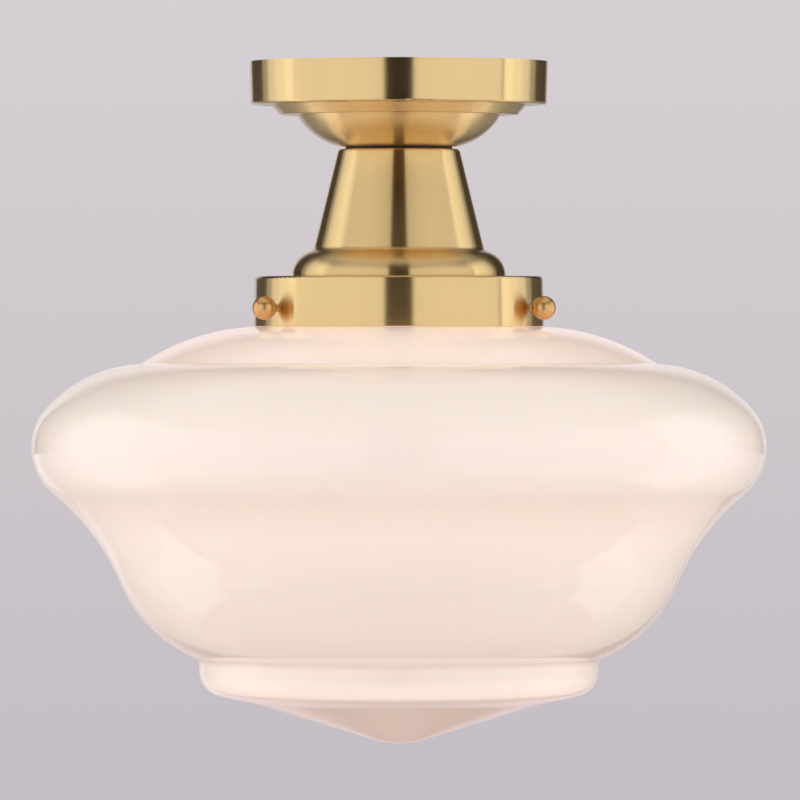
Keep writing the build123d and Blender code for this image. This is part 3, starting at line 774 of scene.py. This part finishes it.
def hexagon(high, low):
    """Rings of a chamfered hexagon nut with a bore."""
    def flat(limit):
        def reach(angle):
            side = NUT_ACROSS / 2 / cos((angle + pi / 6) % (pi / 3) - pi / 6)
            return min(side, limit)
        return reach
    corner = NUT_ACROSS / sqrt(3)
    inner = NUT_ACROSS / 2 - NUT_FACE_INSET
    shares = [step / NUT_CHAMFER_STEPS for step in range(NUT_CHAMFER_STEPS + 1)]
    rings = [(low, NUT_BORE), (low, inner)]
    rings += [(low + NUT_CHAMFER * share, flat(inner + (corner - inner) * share)) for share in shares]
    rings += [(high - NUT_CHAMFER * (1 - share), flat(corner - (corner - inner) * share))
              for share in shares]
    return [*rings, (high, inner), (high, NUT_BORE)]


def box_mm(node):
    """A node's lowest and highest corners, in millimetres."""
    low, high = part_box(node)
    return Vector(low) / MM, Vector(high) / MM


def add(piece, body, slot, *nodes):
    """Puts a piece in place of its nodes, on their body and with their finish."""
    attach(piece, body)
    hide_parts(*nodes)
    piece.data.materials.append(materials[slot])


def make_thumbscrews():
    """Ball-headed screws, pointing inward to the glass."""
    low, high = box_mm("thumbscrew_3")
    reach = high.y - (high.z - low.z) / 2
    height = (low.z + high.z) / 2
    root = SCREW_CREST - SCREW_DEPTH
    ball_foot = reach - sqrt(BALL_RADIUS**2 - root**2)
    spigot_end = PAD_SIDE - SPIGOT_LENGTH
    rings = [(spigot_end, SPIGOT_RADIUS - SPIGOT_CHAMFER), (spigot_end + SPIGOT_CHAMFER, SPIGOT_RADIUS),
             (PAD_SIDE, SPIGOT_RADIUS), (PAD_SIDE, root - SHANK_CHAMFER)]
    rings += thread(SCREW_CREST, SCREW_DEPTH, SCREW_PITCH, PAD_SIDE + SHANK_CHAMFER,
                    ball_foot - SCREW_RUN_OUT)
    rings.append((ball_foot, root))
    first = 180 - degrees(asin(root / BALL_RADIUS))
    for step in range(1, BALL_RINGS + 1):
        turn = radians(first - (first - BALL_POLE) * step / BALL_RINGS)
        rings.append((reach + BALL_RADIUS * cos(turn), BALL_RADIUS * sin(turn)))
    for number, angle in enumerate(SCREW_ANGLES, 1):
        place = (Matrix.Rotation(radians(angle), 4, "Z") @ Matrix.Translation((0, 0, height))
                 @ Matrix.Rotation(pi / 2, 4, "Y"))
        add(skinned(f"ball_screw_{number}", rings, SCREW_SIDES, place), f"thumbscrew_{number}",
            "polished_brass", f"thumbscrew_{number}")


def make_tubes_and_nuts():
    """Threaded tubes, and chamfered nuts on them."""
    on_axis = Matrix.Identity(4)
    for node in ("stem", "strap_nipple"):
        low, high = box_mm(node)
        bottom, top = low.z + TUBE_INSET, high.z - TUBE_INSET
        rings = thread(TUBE_CREST, TUBE_DEPTH, TUBE_PITCH, bottom, top)
        rings += [(top, TUBE_BORE), (bottom, TUBE_BORE)]
        add(skinned(f"{node}_tube", rings, TUBE_SIDES, on_axis, loop=True), "root", "zinc_steel", node)
    for node in ("canopy_nut", "strap_locknut", "bracket_nut"):
        low, high = box_mm(node)
        rings = hexagon(high.z, low.z)
        add(skinned(f"{node}_hexagon", rings, NUT_SIDES, on_axis, loop=True), "root", "zinc_steel", node)


def ribbed(radius, depth):
    """A ring with ribs, as a function of the turn."""
    return lambda angle: radius - depth * (0.5 - 0.5 * cos(RIBS * angle))


def make_connectors():
    """Ribbed twist-on caps with a smooth skirt, laid along -Y."""
    for node in ("live_connector", "neutral_connector", "ground_connector"):
        low, high = box_mm(node)
        place = Matrix.Translation(((low.x + high.x) / 2, high.y, (low.z + high.z) / 2))
        place = place @ Matrix.Rotation(pi / 2, 4, "X")
        length = high.y - low.y
        skirt = length * SKIRT_SHARE
        rings = [(CAP_BORE_DEPTH, CAP_BORE), (CAP_INSET, CAP_BORE), (CAP_INSET, CAP_MOUTH - CAP_EDGE),
                 (CAP_EDGE, CAP_MOUTH), (skirt - SKIRT_STEP_RUN, CAP_MOUTH),
                 (skirt, CAP_MOUTH - SKIRT_STEP)]
        for step in range(RIB_RINGS):
            share = (step + 0.5) / RIB_RINGS
            radius = CAP_MOUTH - RIB_INSET + (CAP_TIP - CAP_MOUTH) * share
            depth = RIB_DEPTH * min(1, RIB_FADE * share, RIB_FADE * (1 - share))
            rings.append((skirt + (length - skirt - TIP_LENGTH) * share, ribbed(radius, depth)))
        rings += [(length - back, CAP_TIP - inward) for back, inward in CAP_END]
        add(skinned(f"{node}_cap", rings, CAP_SIDES, place), "root", "connector_plastic", node)


# ---------------------------------------------------------------- make it all

make_camera()
make_world()
make_floor()
make_lights()

materials = make_materials()
for subpart in frame["record"]["subparts"]:
    node = frame["nodes"][subpart["node"]]
    node.data.materials.clear()
    node.data.materials.append(materials[subpart["material_slot"]])
    for polygon in node.data.polygons:
        polygon.material_index = 0

add(lathe("opal_shade", shade_outline(), SHADE_SIDES), "root", "opal_glass", "shade")
make_thumbscrews()
make_tubes_and_nuts()
make_connectors()
